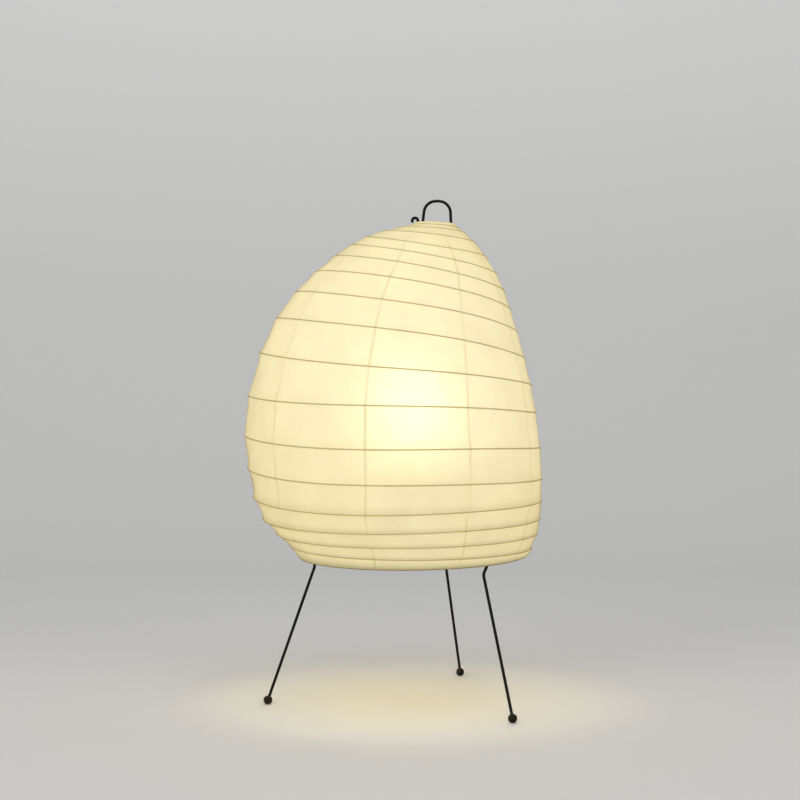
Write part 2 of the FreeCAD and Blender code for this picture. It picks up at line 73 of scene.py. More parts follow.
def addNode(tree, kind, inputs=None, **settings):
    node = tree.nodes.new(kind)
    for name, value in settings.items():
        setattr(node, name, value)
    setInputs(tree, node, inputs or {})
    return node


def nodeOut(tree, kind, inputs=None, **settings):
    return addNode(tree, kind, inputs, **settings).outputs[0]


def calc(tree, operation, *values):
    return nodeOut(tree, "ShaderNodeMath", dict(enumerate(values)), operation=operation)


def vecCalc(tree, operation, *values):
    node = addNode(tree, "ShaderNodeVectorMath", dict(enumerate(values)), operation=operation)
    return node.outputs["Value" if operation in ("LENGTH", "DISTANCE", "DOT_PRODUCT") else "Vector"]


def scaleBy(tree, vector, factor):
    return nodeOut(tree, "ShaderNodeVectorMath", {0: vector, "Scale": factor}, operation="SCALE")


def mixValues(tree, kind, factor, first, second):
    start, out = {"FLOAT": (2, 0), "VECTOR": (4, 1), "RGBA": (6, 2)}[kind]  # the sockets for each kind
    node = addNode(tree, "ShaderNodeMix", {0: factor, start: first, start + 1: second}, data_type=kind)
    return node.outputs[out]


def mapValue(tree, value, fromLow, fromHigh, toLow, toHigh, kind="LINEAR"):
    sockets = {"Value": value, 1: fromLow, 2: fromHigh, 3: toLow, 4: toHigh}
    return nodeOut(tree, "ShaderNodeMapRange", sockets, interpolation_type=kind)


def easeValue(tree, value, fromLow, fromHigh, toLow, toHigh):
    return mapValue(tree, value, fromLow, fromHigh, toLow, toHigh, "SMOOTHSTEP")


def partsOf(tree, vector):
    return addNode(tree, "ShaderNodeSeparateXYZ", {0: vector}).outputs


def noise(tree, place, scale, detail, distortion=0.0):
    return nodeOut(tree, "ShaderNodeTexNoise", {
        "Vector": place, "Scale": scale, "Detail": detail, "Distortion": distortion})


def position(tree):
    return nodeOut(tree, "GeometryNodeInputPosition")


def kept(tree, name, kind="FLOAT"):
    return nodeOut(tree, "GeometryNodeInputNamedAttribute", {"Name": name}, data_type=kind)


def guideShape(tree, guide):
    return addNode(tree, "GeometryNodeObjectInfo", {"Object": guide}).outputs["Geometry"]


def moveShape(tree, shape, way, vector):
    return nodeOut(tree, "GeometryNodeSetPosition", {"Geometry": shape, way: vector})


def dressShape(tree, shape, material):
    shape = nodeOut(tree, "GeometryNodeSetShadeSmooth", {"Geometry": shape})
    shape = nodeOut(tree, "GeometryNodeRealizeInstances", {"Geometry": shape})
    return nodeOut(tree, "GeometryNodeSetMaterial", {"Geometry": shape, "Material": material})


def unitGrid(tree, columns, rows):
    # a flat grid, with each point's share of the way across it and its row
    grid = nodeOut(tree, "GeometryNodeMeshGrid", {
        "Size X": 1.0, "Size Y": 1.0,
        "Vertices X": calc(tree, "ADD", columns, 1.0), "Vertices Y": calc(tree, "ADD", rows, 1.0)})
    place = partsOf(tree, position(tree))
    sideways = calc(tree, "ADD", place[0], 0.5)
    upwards = calc(tree, "ADD", place[1], 0.5)
    return grid, sideways, calc(tree, "ROUND", calc(tree, "MULTIPLY", upwards, rows))


def newTree(name, kind, inputs, outputs):
    tree = bpy.data.node_groups.new(name, kind)
    for way, sockets in (("INPUT", inputs), ("OUTPUT", outputs)):
        for socketName, socketType in sockets.items():
            tree.interface.new_socket(
                name=socketName, in_out=way, socket_type="NodeSocket" + socketType)
    given = tree.nodes.new("NodeGroupInput").outputs
    return tree, given, tree.nodes.new("NodeGroupOutput")


def sizeSockets(sizes):
    return {name: "Int" if isinstance(size, int) else "Float" for name, size in sizes.items()}


def useGroup(tree, group, inputs):
    kind = "GeometryNodeGroup" if tree.bl_idname == "GeometryNodeTree" else "ShaderNodeGroup"
    node = tree.nodes.new(kind)
    node.node_tree = group
    setInputs(tree, node, inputs)
    return node.outputs


def pieceFromTree(name, tree, values):
    piece = bpy.data.objects.new(name, bpy.data.meshes.new(name + "Start"))
    bpy.context.collection.objects.link(piece)
    modifier = piece.modifiers.new("shape", "NODES")
    modifier.node_group = tree
    for item in tree.interface.items_tree:
        if item.in_out == "INPUT" and item.name in values:
            modifier[item.identifier] = values[item.name]
    graph = bpy.context.evaluated_depsgraph_get()
    mesh = bpy.data.meshes.new_from_object(
        piece.evaluated_get(graph), preserve_all_data_layers=True, depsgraph=graph)
    piece.modifiers.remove(modifier)
    piece.data = mesh
    mesh.name = name
    return piece


# Shade form: the solids' eleven stations, in rib turns, millimetres and degrees,
# 3 mm fuller low on the full side

shade = {
    "turns": (0.0, 1.5, 3.5, 5.0, 6.5, 8.0, 10.0, 12.5, 15.0, 16.5, 17.5),
    "fullX": (-98.5, -112.4, -134.5, -142.5, -144.5, -132.0, -102.0, -61.5, -28.0, -6.0, 0.6),
    "fullZ": (2.3, 18.3, 44.8, 80.0, 123.5, 178.0, 229.0, 265.5, 282.0, 286.8, 290.0),
    "steepX": (98.5, 107.0, 110.5, 110.5, 106.0, 99.5, 87.0, 72.5, 49.5, 38.5, 36.0),
    "steepZ": (5.0, 23.5, 52.0, 83.0, 126.0, 160.5, 204.0, 244.5, 277.0, 285.6, 288.6),
    "tip": (1.5, 2.1, 2.8, 2.5, 0.5, -0.8, -3.0, -1.0, 0.5, 0.5, 0.0),
    "swing": (-9.0, -7.0, -3.5, -1.0, 0.0, 0.0, -1.0, -4.0, -9.0, -12.0, -13.0),
    "floorGap": 122.0,
    "gores": 9,
    "seamAngle": 20.0,
    "ribStart": 0.5,
    "ribTop": 17.1,
    "samplesPerTurn": 40,
}
topTurn = shade["turns"][-1]
goreAngle = 360.0 / shade["gores"]
firstTurn = shade["ribStart"] - shade["seamAngle"] / 360.0
ribCrossings = math.floor((shade["ribTop"] - firstTurn) * shade["gores"])
ribEndTurn = firstTurn + ribCrossings / shade["gores"]


def splineThrough(values, at):
    # a smooth cubic through the stations, with end slopes from the four points nearest each end
    turns = np.array(shade["turns"])
    values = np.array(values)
    count = len(turns)
    step = np.diff(turns)
    rise = np.diff(values) / step
    system = np.eye(count)
    slopes = np.zeros(count)
    slopes[0] = np.polyfit(turns[:4] - turns[0], values[:4], 3)[2]
    slopes[-1] = np.polyfit(turns[-4:] - turns[-1], values[-4:], 3)[2]
    for i in range(1, count - 1):
        system[i, i - 1] = 1 / step[i - 1]
        system[i, i] = 2 / step[i - 1] + 2 / step[i]
        system[i, i + 1] = 1 / step[i]
        slopes[i] = 3 * (rise[i - 1] / step[i - 1] + rise[i] / step[i])
    slopes = np.linalg.solve(system, slopes)
    span = np.clip(np.searchsorted(turns, at, side="right") - 1, 0, count - 2)
    h = step[span]
    s = (at - turns[span]) / h
    ease = s * s * (3 - 2 * s)
    leaving = s * (1 - s) ** 2 * h * slopes[span]
    arriving = s * s * (s - 1) * h * slopes[span + 1]
    return values[span] * (1 - ease) + values[span + 1] * ease + leaving + arriving


def buildGuide():
    at = np.linspace(0.0, topTurn, int(topTurn * shade["samplesPerTurn"]) + 1)
    zeros = np.zeros_like(at)
    start = np.array((axisX / mm, 0.0, shade["floorGap"]))

    def sideLine(x, z):
        line = np.stack([splineThrough(shade[x], at), zeros, splineThrough(shade[z], at)], 1)
        return (line + start) * mm

    steep = sideLine("steepX", "steepZ")
    lie = np.stack([splineThrough(shade["tip"], at), splineThrough(shade["swing"], at), zeros], 1)
    mesh = bpy.data.meshes.new("shadeGuide")
    mesh.vertices.add(len(at))
    mesh.vertices.foreach_set("co", sideLine("fullX", "fullZ").ravel())
    for name, values in (("steep", steep), ("lie", lie)):
        mesh.attributes.new(name, "FLOAT_VECTOR", "POINT").data.foreach_set("vector", values.ravel())
    guide = bpy.data.objects.new("shadeGuide", mesh)
    bpy.context.collection.objects.link(guide)
    return guide


# how far the hand-wound strip strays across the front, in shares of a turn
ribStray = {
    "lean": 0.10,  # up towards the steep side, down towards the full side
    "alternate": 0.026,  # every second turn lies high
    "evenTurn": 0.75,
    "begins": (1.5, 3.5),
    "ends": (9.5, 11.5),
    "slip": -0.25,  # one turn near the top has slipped down
    "slipTurn": 13.7,
    "slipReach": 1.5,
}


def ribStrayAt(tree, turn, angle):
    facing = calc(tree, "MAXIMUM", calc(tree, "MULTIPLY", calc(tree, "SINE", angle), -1.0), 0.0)
    front = calc(tree, "MULTIPLY", facing, facing)
    begun = easeValue(tree, turn, *ribStray["begins"], 0.0, 1.0)
    ended = easeValue(tree, turn, *ribStray["ends"], 1.0, 0.0)
    parity = calc(tree, "MULTIPLY", calc(tree, "SUBTRACT", turn, ribStray["evenTurn"]), math.pi)
    sway = calc(tree, "MULTIPLY", calc(tree, "COSINE", parity), ribStray["alternate"])
    sway = calc(tree, "MULTIPLY_ADD", calc(tree, "COSINE", angle), ribStray["lean"], sway)
    sway = calc(tree, "MULTIPLY", sway, calc(tree, "MULTIPLY", begun, ended))
    fromSlip = calc(tree, "ABSOLUTE", calc(tree, "SUBTRACT", turn, ribStray["slipTurn"]))
    slip = easeValue(tree, fromSlip, 0.0, ribStray["slipReach"], ribStray["slip"], 0.0)
    return calc(tree, "MULTIPLY", calc(tree, "ADD", sway, slip), front)


# how far the seams stray round the shade from even spacing, in degrees
seamStray = {"all": 1.3, "steep": -7.3, "power": 3.0}


def seamStrayAt(tree, angle):
    side = calc(tree, "MAXIMUM", calc(tree, "COSINE", angle), 0.0)
    side = calc(tree, "POWER", side, seamStray["power"])
    return calc(tree, "MULTIPLY_ADD", side, seamStray["steep"], seamStray["all"])


def shadePointTree():
    # a point on the shade from its turn and its angle in degrees
    tree, given, result = newTree(
        "shadePoint", "GeometryNodeTree",
        {"Guide": "Geometry", "Turn": "Float", "Angle": "Float"},
        {"Point": "Vector", "Centre": "Vector", "Radius": "Float"})
    asked = calc(tree, "RADIANS", given["Angle"])
    turn = calc(tree, "ADD", given["Turn"], ribStrayAt(tree, given["Turn"], asked))
    place = calc(tree, "MULTIPLY", turn, float(shade["samplesPerTurn"]))
    below = calc(tree, "FLOOR", place)
    share = calc(tree, "SUBTRACT", place, below)
    above = calc(tree, "ADD", below, 1.0)

    def sampled(field):
        ends = []
        for index in (below, above):
            inputs = {"Geometry": given["Guide"], "Value": field, "Index": index}
            ends.append(nodeOut(
                tree, "GeometryNodeSampleIndex", inputs, data_type="FLOAT_VECTOR", clamp=True))
        return mixValues(tree, "VECTOR", share, *ends)

    full = sampled(position(tree))
    steep = sampled(kept(tree, "steep", "FLOAT_VECTOR"))
    lie = partsOf(tree, sampled(kept(tree, "lie", "FLOAT_VECTOR")))
    centre = scaleBy(tree, vecCalc(tree, "ADD", full, steep), 0.5)
    across = scaleBy(tree, vecCalc(tree, "SUBTRACT", steep, full), 0.5)
    radius = vecCalc(tree, "LENGTH", across)
    tip = calc(tree, "RADIANS", lie[0])
    leaning = nodeOut(tree, "ShaderNodeCombineXYZ", {
        1: calc(tree, "COSINE", tip), 2: calc(tree, "SINE", tip)})
    depth = scaleBy(tree, leaning, radius)
    swung = calc(tree, "ADD", lie[1], seamStrayAt(tree, asked))
    turned = calc(tree, "RADIANS", calc(tree, "ADD", given["Angle"], swung))
    reach = vecCalc(tree, "ADD", scaleBy(tree, across, calc(tree, "COSINE", turned)),
                    scaleBy(tree, depth, calc(tree, "SINE", turned)))
    point = vecCalc(tree, "ADD", centre, reach)
    setInputs(tree, result, {"Point": point, "Centre": centre, "Radius": radius})
    return tree


def creasePointTree(shadePoint):
    # where a gore crosses one level of the rib, level 0 being the bottom edge
    tree, given, result = newTree(
        "creasePoint", "GeometryNodeTree",
        {"Guide": "Geometry", "Gore": "Float", "Across": "Float", "Lap": "Float", "Level": "Float",
         "Lap Width": "Float"},
        {"Point": "Vector", "Ribbed": "Float"})
    tolerance = 0.001  # of a turn

    def turnAt(share):
        crossing = calc(tree, "DIVIDE", calc(tree, "ADD", given["Gore"], share), float(shade["gores"]))
        level = calc(tree, "ADD", given["Level"], firstTurn - 1.0)
        return calc(tree, "ADD", crossing, level)

    def held(turn):
        within = nodeOut(tree, "ShaderNodeClamp", {0: turn, 1: 0.0, 2: topTurn})
        return calc(tree, "MULTIPLY", within, calc(tree, "GREATER_THAN", given["Level"], 0.5))

    plainTurn = turnAt(given["Across"])
    plain = useGroup(tree, shadePoint, {"Guide": given["Guide"], "Turn": held(plainTurn)})
    goreWidth = calc(tree, "MULTIPLY", plain["Radius"], math.radians(goreAngle))
    lapShare = calc(tree, "DIVIDE", given["Lap Width"], goreWidth)
    lapShare = calc(tree, "MULTIPLY", given["Lap"], lapShare)
    share = calc(tree, "ADD", given["Across"], lapShare)
    swept = calc(tree, "MULTIPLY", calc(tree, "ADD", given["Gore"], share), -goreAngle)
    angle = calc(tree, "ADD", swept, shade["seamAngle"])
    point = useGroup(tree, shadePoint, {
        "Guide": given["Guide"], "Turn": held(turnAt(share)), "Angle": angle})["Point"]
    begun = calc(tree, "GREATER_THAN", plainTurn, firstTurn - tolerance)
    ended = calc(tree, "LESS_THAN", plainTurn, ribEndTurn + tolerance)
    setInputs(tree, result, {"Point": point, "Ribbed": calc(tree, "MULTIPLY", begun, ended)})
    return tree


# Paper gores: creased along the rib, drawn in a little between its turns, lapped at the seams

gorePaper = {
    "Columns": 22,
    "Lap Columns": 3,
    "Panels": 19,
    "Rows": 12,
    "Ridge Half": 0.52 * mm,
    "Ridge Lift": 0.28 * mm,
    "Draw In": 0.020,
    "Low Draw In": 0.062,
    "Bow Power": 3.4,
    "Hem Bulge": 1.1 * mm,
    "Lap Width": 2.3 * mm,
    "Lap Lift": 0.22 * mm,
    "Wrinkle": 0.30 * mm,
    "Seed": 7.0,
}
# where the paper hangs slack: heights at which it starts and ends, its two sides, the share of it at the
# foot, and how unevenly the paper is drawn in
slackPaper = {
    "foot": 139 * mm, "low": 158 * mm, "high": 225 * mm, "full": -40 * mm, "steep": 135 * mm,
    "footShare": 0.25, "scale": 26.0, "share": (0.15, 1.85),
}
paperWrinkle = {"turn": (0.3, 0.2, 0.9), "squeeze": (1.0, 1.0, 2.2), "scale": 55.0}
# the least panel width, a ridge's largest share of a panel, the welding gap and a lap's climbing share
paperLimits = {"panel": 0.1 * mm, "ridge": 0.3, "weld": 0.02 * mm, "lapRise": 0.34}


def goreTree(creasePoint):
    tree, given, result = newTree(
        "paperGore", "GeometryNodeTree",
        {"Guide": "Object", "Gore": "Float", **sizeSockets(gorePaper),
         "Paper": "Material", "Ridge Paper": "Material"},
        {"Geometry": "Geometry"})
    guide = guideShape(tree, given["Guide"])
    allColumns = calc(tree, "ADD", given["Columns"], given["Lap Columns"])
    allRows = calc(tree, "MULTIPLY", given["Panels"], given["Rows"])
    shape, sideways, row = unitGrid(tree, allColumns, allRows)
    column = calc(tree, "ROUND", calc(tree, "MULTIPLY", sideways, allColumns))
    across = calc(tree, "MINIMUM", calc(tree, "DIVIDE", column, given["Columns"]), 1.0)
    past = calc(tree, "MAXIMUM", calc(tree, "SUBTRACT", column, given["Columns"]), 0.0)
    lap = calc(tree, "DIVIDE", past, given["Lap Columns"])
    level = calc(tree, "FLOOR", calc(tree, "DIVIDE", calc(tree, "ADD", row, 0.5), given["Rows"]))
    step = calc(tree, "SUBTRACT", row, calc(tree, "MULTIPLY", level, given["Rows"]))

    def crease(at):
        return useGroup(tree, creasePoint, {
            "Guide": guide, "Gore": given["Gore"], "Across": across, "Lap": lap, "Level": at,
            "Lap Width": given["Lap Width"]})

    lower = crease(level)
    upper = crease(calc(tree, "ADD", level, 1.0))
    width = vecCalc(tree, "DISTANCE", lower["Point"], upper["Point"])
    panel = calc(tree, "MAXIMUM", width, paperLimits["panel"])
    ridge = calc(tree, "DIVIDE", given["Ridge Half"], panel)
    ridge = calc(tree, "MINIMUM", ridge, paperLimits["ridge"])
    clear = calc(tree, "SUBTRACT", 1.0, calc(tree, "MULTIPLY", ridge, 2.0))
    clearRows = calc(tree, "SUBTRACT", given["Rows"], 2.0)
    inner = calc(tree, "DIVIDE", calc(tree, "SUBTRACT", step, 1.0), clearRows)
    rawPhase = calc(tree, "ADD", ridge, calc(tree, "MULTIPLY", clear, inner))
    phase = nodeOut(tree, "ShaderNodeClamp", {0: rawPhase})
    flat = mixValues(tree, "VECTOR", phase, lower["Point"], upper["Point"])

    # crest rows carry 1 and the ridge's two edges carry a half, so ridge faces average three quarters
    onCrest = calc(tree, "MULTIPLY", calc(tree, "LESS_THAN", step, 0.5), lower["Ribbed"])
    nearLower = calc(tree, "MULTIPLY", calc(tree, "COMPARE", step, 1.0, 0.1), lower["Ribbed"])
    lastStep = calc(tree, "SUBTRACT", given["Rows"], 1.0)
    nearUpper = calc(tree, "MULTIPLY", calc(tree, "COMPARE", step, lastStep, 0.1), upper["Ribbed"])
    edges = calc(tree, "MULTIPLY", calc(tree, "MAXIMUM", nearLower, nearUpper), 0.5)
    crest = calc(tree, "MAXIMUM", onCrest, edges)
    fromMiddle = calc(tree, "ABSOLUTE", calc(tree, "MULTIPLY_ADD", phase, 2.0, -1.0))
    bow = calc(tree, "SUBTRACT", 1.0, calc(tree, "POWER", fromMiddle, given["Bow Power"]))
    lowest = calc(tree, "LESS_THAN", row, calc(tree, "SUBTRACT", given["Rows"], 0.5))
    hem = calc(tree, "MULTIPLY", lowest, calc(tree, "SUBTRACT", 1.0, phase))  # 1 at the bottom edge
    marks = {"crest": crest, "bow": bow, "lap": lap, "panelWidth": width, "hem": hem, "rise": phase}
    for name, value in marks.items():
        shape = nodeOut(tree, "GeometryNodeStoreNamedAttribute", {
            "Geometry": shape, "Name": name, "Value": value}, data_type="FLOAT")
    shape = moveShape(tree, shape, "Position", flat)
    shape = nodeOut(tree, "GeometryNodeMergeByDistance", {
        "Geometry": shape, "Distance": paperLimits["weld"]})
    shape = nodeOut(tree, "GeometryNodeFlipFaces", {"Mesh": shape})

    here = position(tree)
    spot = partsOf(tree, here)
    moved = vecCalc(tree, "ADD", here, nodeOut(tree, "ShaderNodeCombineXYZ", {2: given["Seed"]}))
    slack = noise(tree, moved, slackPaper["scale"], 1.0)
    slack = mapValue(tree, slack, *noiseRange, *slackPaper["share"])
    low = easeValue(tree, spot[2], slackPaper["low"], slackPaper["high"], 1.0, 0.0)
    foot = easeValue(tree, spot[2], slackPaper["foot"], slackPaper["low"], slackPaper["footShare"], 1.0)
    full = easeValue(tree, spot[0], slackPaper["full"], slackPaper["steep"], 1.0, 0.0)
    sag = calc(tree, "MULTIPLY", full, given["Low Draw In"])
    sag = calc(tree, "MULTIPLY", calc(tree, "MULTIPLY", low, foot), sag)
    sag = calc(tree, "ADD", sag, calc(tree, "MULTIPLY", given["Draw In"], slack))
    bowed = kept(tree, "bow")
    drawn = calc(tree, "MULTIPLY", calc(tree, "MULTIPLY", kept(tree, "panelWidth"), sag), bowed)
    steep = calc(tree, "SUBTRACT", full, 1.0)
    bulged = calc(tree, "MULTIPLY", given["Hem Bulge"], calc(tree, "MULTIPLY", bowed, steep))
    inHem = calc(tree, "GREATER_THAN", kept(tree, "hem"), 0.001)
    drawn = mixValues(tree, "FLOAT", inHem, drawn, bulged)
    slanted = nodeOut(tree, "ShaderNodeVectorRotate", {
        "Vector": moved, "Rotation": paperWrinkle["turn"]}, rotation_type="EULER_XYZ")
    slanted = vecCalc(tree, "MULTIPLY", slanted, paperWrinkle["squeeze"])
    fold = calc(tree, "SUBTRACT", noise(tree, slanted, paperWrinkle["scale"], 2.0), 0.5)
    fold = calc(tree, "MULTIPLY", fold, calc(tree, "MULTIPLY", bowed, 2.0))
    lift = calc(tree, "SUBTRACT", calc(tree, "MULTIPLY", fold, given["Wrinkle"]), drawn)
    onTop = calc(tree, "GREATER_THAN", kept(tree, "crest"), 0.75)
    lift = calc(tree, "ADD", lift, calc(tree, "MULTIPLY", onTop, given["Ridge Lift"]))
    lapped = mapValue(tree, kept(tree, "lap"), 0.0, paperLimits["lapRise"], 0.0, 1.0)
    lift = calc(tree, "ADD", lift, calc(tree, "MULTIPLY", lapped, given["Lap Lift"]))
    out = nodeOut(tree, "GeometryNodeInputNormal")
    shape = moveShape(tree, shape, "Offset", scaleBy(tree, out, lift))
    shape = dressShape(tree, shape, given["Paper"])
    onFaces = nodeOut(tree, "GeometryNodeFieldOnDomain", {
        0: kept(tree, "crest")}, domain="FACE", data_type="FLOAT")
    ridged = calc(tree, "GREATER_THAN", onFaces, 0.6)
    shape = nodeOut(tree, "GeometryNodeSetMaterial", {
        "Geometry": shape, "Selection": ridged, "Material": given["Ridge Paper"]})
    setInputs(tree, result, {"Geometry": shape})
    return tree


# Bamboo rib: one strip wound inside the creases

bambooRib = {
    "Points": ribCrossings * 5,  # five from seam to seam
    "Depth": 0.9 * mm,
    "Width": 1.1 * mm,
    "Sides": 8,
}


def ribTree(shadePoint):
    tree, given, result = newTree(
        "bambooRib", "GeometryNodeTree",
        {"Guide": "Object", **sizeSockets(bambooRib), "Bamboo": "Material"},
        {"Geometry": "Geometry"})
    guide = guideShape(tree, given["Guide"])
    line = nodeOut(tree, "GeometryNodeCurvePrimitiveLine")
    line = nodeOut(tree, "GeometryNodeResampleCurve", {"Curve": line, "Count": given["Points"]})
    along = tree.nodes.new("GeometryNodeSplineParameter").outputs["Factor"]
    crossing = calc(tree, "MULTIPLY", along, float(ribCrossings))
    turn = calc(tree, "ADD", calc(tree, "DIVIDE", crossing, float(shade["gores"])), firstTurn)
    angle = calc(tree, "ADD", calc(tree, "MULTIPLY", crossing, -goreAngle), shade["seamAngle"])
    nudge = 0.04  # a small step, in turns up the shade and in degrees round it

    def pointAt(turnStep, angleStep):
        return useGroup(tree, shadePoint, {
            "Guide": guide, "Turn": calc(tree, "ADD", turn, turnStep),
            "Angle": calc(tree, "ADD", angle, angleStep)})["Point"]

    upward = vecCalc(tree, "SUBTRACT", pointAt(nudge, 0.0), pointAt(-nudge, 0.0))
    around = vecCalc(tree, "SUBTRACT", pointAt(0.0, nudge), pointAt(0.0, -nudge))
    out = vecCalc(tree, "NORMALIZE", vecCalc(tree, "CROSS_PRODUCT", around, upward))
    inside = vecCalc(tree, "SUBTRACT", pointAt(0.0, 0.0), scaleBy(tree, out, given["Depth"]))
    line = moveShape(tree, line, "Position", inside)
    profile = nodeOut(tree, "GeometryNodeCurvePrimitiveCircle", {
        "Resolution": given["Sides"], "Radius": calc(tree, "MULTIPLY", given["Width"], 0.5)})
    strip = nodeOut(tree, "GeometryNodeCurveToMesh", {
        "Curve": line, "Profile Curve": profile, "Fill Caps": True})
    setInputs(tree, result, {"Geometry": dressShape(tree, strip, given["Bamboo"])})
    return tree


# Paper hems rolled over the two hoops

bottomHem = {
    "Turn": 0.0, "Roll": 1.33 * mm, "Inset": 1.33 * mm, "Rise": 0.4 * mm, "Wrinkle": 0.25 * mm,
}
topHem = {
    "Turn": topTurn, "Roll": 1.05 * mm, "Inset": 1.05 * mm, "Rise": -0.7 * mm, "Wrinkle": 0.10 * mm,
}
hemRoll = {"points": 216, "sides": 12, "puckerScale": 240.0, "puckerLevel": 0.62}


def hemTree(shadePoint):
    tree, given, result = newTree(
        "paperHem", "GeometryNodeTree",
        {"Guide": "Object", **sizeSockets(bottomHem), "Paper": "Material"},
        {"Geometry": "Geometry"})
    guide = guideShape(tree, given["Guide"])
    ring = nodeOut(tree, "GeometryNodeCurvePrimitiveCircle", {
        "Resolution": hemRoll["points"], "Radius": 1.0})
    along = tree.nodes.new("GeometryNodeSplineParameter").outputs["Factor"]
    angle = calc(tree, "MULTIPLY", along, 360.0)
    edge = useGroup(tree, shadePoint, {"Guide": guide, "Turn": given["Turn"], "Angle": angle})
    inward = vecCalc(tree, "NORMALIZE", vecCalc(tree, "SUBTRACT", edge["Centre"], edge["Point"]))
    middle = vecCalc(tree, "ADD", edge["Point"], scaleBy(tree, inward, given["Inset"]))
    rise = nodeOut(tree, "ShaderNodeCombineXYZ", {2: given["Rise"]})
    ring = moveShape(tree, ring, "Position", vecCalc(tree, "ADD", middle, rise))
    profile = nodeOut(tree, "GeometryNodeCurvePrimitiveCircle", {
        "Resolution": hemRoll["sides"], "Radius": given["Roll"]})
    roll = nodeOut(tree, "GeometryNodeCurveToMesh", {"Curve": ring, "Profile Curve": profile})
    pucker = noise(tree, position(tree), hemRoll["puckerScale"], 2.0)
    pucker = calc(tree, "SUBTRACT", pucker, hemRoll["puckerLevel"])
    pucker = calc(tree, "MULTIPLY", pucker, given["Wrinkle"])
    out = nodeOut(tree, "GeometryNodeInputNormal")
    roll = moveShape(tree, roll, "Offset", scaleBy(tree, out, pucker))
    setInputs(tree, result, {"Geometry": dressShape(tree, roll, given["Paper"])})
    return tree


# Shader groups that several finishes share

paperFibre = {
    "turns": ((0.4, 0.1, 0.8), (1.3, 0.6, 0.2)), "stretches": ((1.0, 1.0, 3.0), (1.0, 2.6, 1.0)),
    "wander": 1.6, "strandHalf": 0.035, "cloudScale": 38.0,
    "foldTurn": (0.0, 0.24, 0.0), "foldStretch": (7.0, 7.0, 1.0), "foldScale": 70.0,
    "foldHalf": 0.035, "foldPatches": (0.45, 0.62),
}


def objectPlace(tree):
    return tree.nodes.new("ShaderNodeTexCoord").outputs["Object"]


def fibreGroup():
    # fine crossing fibres and a soft cloudiness, as in handmade paper, and long slanting fold lines for
    # painted shade
    tree, given, result = newTree(
        "paperFibre", "ShaderNodeTree", {"Fineness": "Float"},
        {"Fibre": "Float", "Cloud": "Float", "Fold": "Float"})
    place = objectPlace(tree)

    def fromMiddle(value):
        return calc(tree, "ABSOLUTE", calc(tree, "SUBTRACT", value, 0.5))

    strands = []
    for turn, stretch in zip(paperFibre["turns"], paperFibre["stretches"]):
        laid = nodeOut(tree, "ShaderNodeMapping", {"Vector": place, "Rotation": turn, "Scale": stretch})
        away = fromMiddle(noise(tree, laid, given["Fineness"], 3.0, paperFibre["wander"]))
        strands.append(mapValue(tree, away, 0.0, paperFibre["strandHalf"], 1.0, 0.0))
    cloud = noise(tree, place, paperFibre["cloudScale"], 4.0)
    slant = nodeOut(tree, "ShaderNodeMapping", {
        "Vector": place, "Rotation": paperFibre["foldTurn"], "Scale": paperFibre["foldStretch"]},
        vector_type="TEXTURE")
    away = fromMiddle(noise(tree, slant, paperFibre["foldScale"], 1.0))
    fold = easeValue(tree, away, 0.0, paperFibre["foldHalf"], 1.0, 0.0)
    patches = easeValue(tree, cloud, *paperFibre["foldPatches"], 0.0, 1.0)
    setInputs(tree, result, {
        "Fibre": calc(tree, "MAXIMUM", strands[0], strands[1]),
        "Cloud": mapValue(tree, cloud, *noiseRange, 0.0, 1.0),
        "Fold": calc(tree, "MULTIPLY", fold, patches)})
    return tree


def glowGroup():
    # how much of the bulb's light reaches a place: less far away or where the sheet slants to the light
    tree, given, result = newTree(
        "bulbGlow", "ShaderNodeTree", {"Bulb": "Vector", "Reach": "Float"},
        {"Light": "Float", "Nearness": "Float"})
    place = tree.nodes.new("ShaderNodeTexCoord").outputs
    toBulb = vecCalc(tree, "SUBTRACT", given["Bulb"], place["Object"])
    share = calc(tree, "DIVIDE", given["Reach"], vecCalc(tree, "LENGTH", toBulb))
    nearness = calc(tree, "MULTIPLY", share, share)
    square = vecCalc(tree, "DOT_PRODUCT", vecCalc(tree, "NORMALIZE", toBulb), place["Normal"])
    light = calc(tree, "MULTIPLY", nearness, calc(tree, "ABSOLUTE", square))
    setInputs(tree, result, {"Light": light, "Nearness": nearness})
    return tree


surfaceWear = {"patches": (0.45, 0.75), "grainToMark": 9.0}


def wearGroup():
    # small uneven marks for paint, plastic and metal
    tree, given, result = newTree(
        "surfaceWear", "ShaderNodeTree", {"Scale": "Float", "Amount": "Float"},
        {"Mark": "Float", "Grain": "Float"})
    place = objectPlace(tree)
    patches = mapValue(tree, noise(tree, place, given["Scale"], 4.0), *surfaceWear["patches"], 0.0, 1.0)
    fine = calc(tree, "MULTIPLY", given["Scale"], surfaceWear["grainToMark"])
    setInputs(tree, result, {
        "Mark": calc(tree, "MULTIPLY", patches, given["Amount"]),
        "Grain": noise(tree, place, fine, 2.0)})
    return tree


groups = {"fibre": fibreGroup(), "glow": glowGroup(), "wear": wearGroup()}


# Finishes

def newMaterial(name, values):
    material = bpy.data.materials.new(name)
    material.use_nodes = True
    tree = material.node_tree
    shader = tree.nodes["Principled BSDF"]
    setInputs(tree, shader, values)
    return material, tree, shader


def bumpFrom(tree, height, strength, distance):
    return nodeOut(tree, "ShaderNodeBump", {
        "Height": height, "Strength": strength, "Distance": distance})


def wearOf(tree, look):
    return useGroup(tree, groups["wear"], {"Scale": look["scale"], "Amount": look["amount"]})


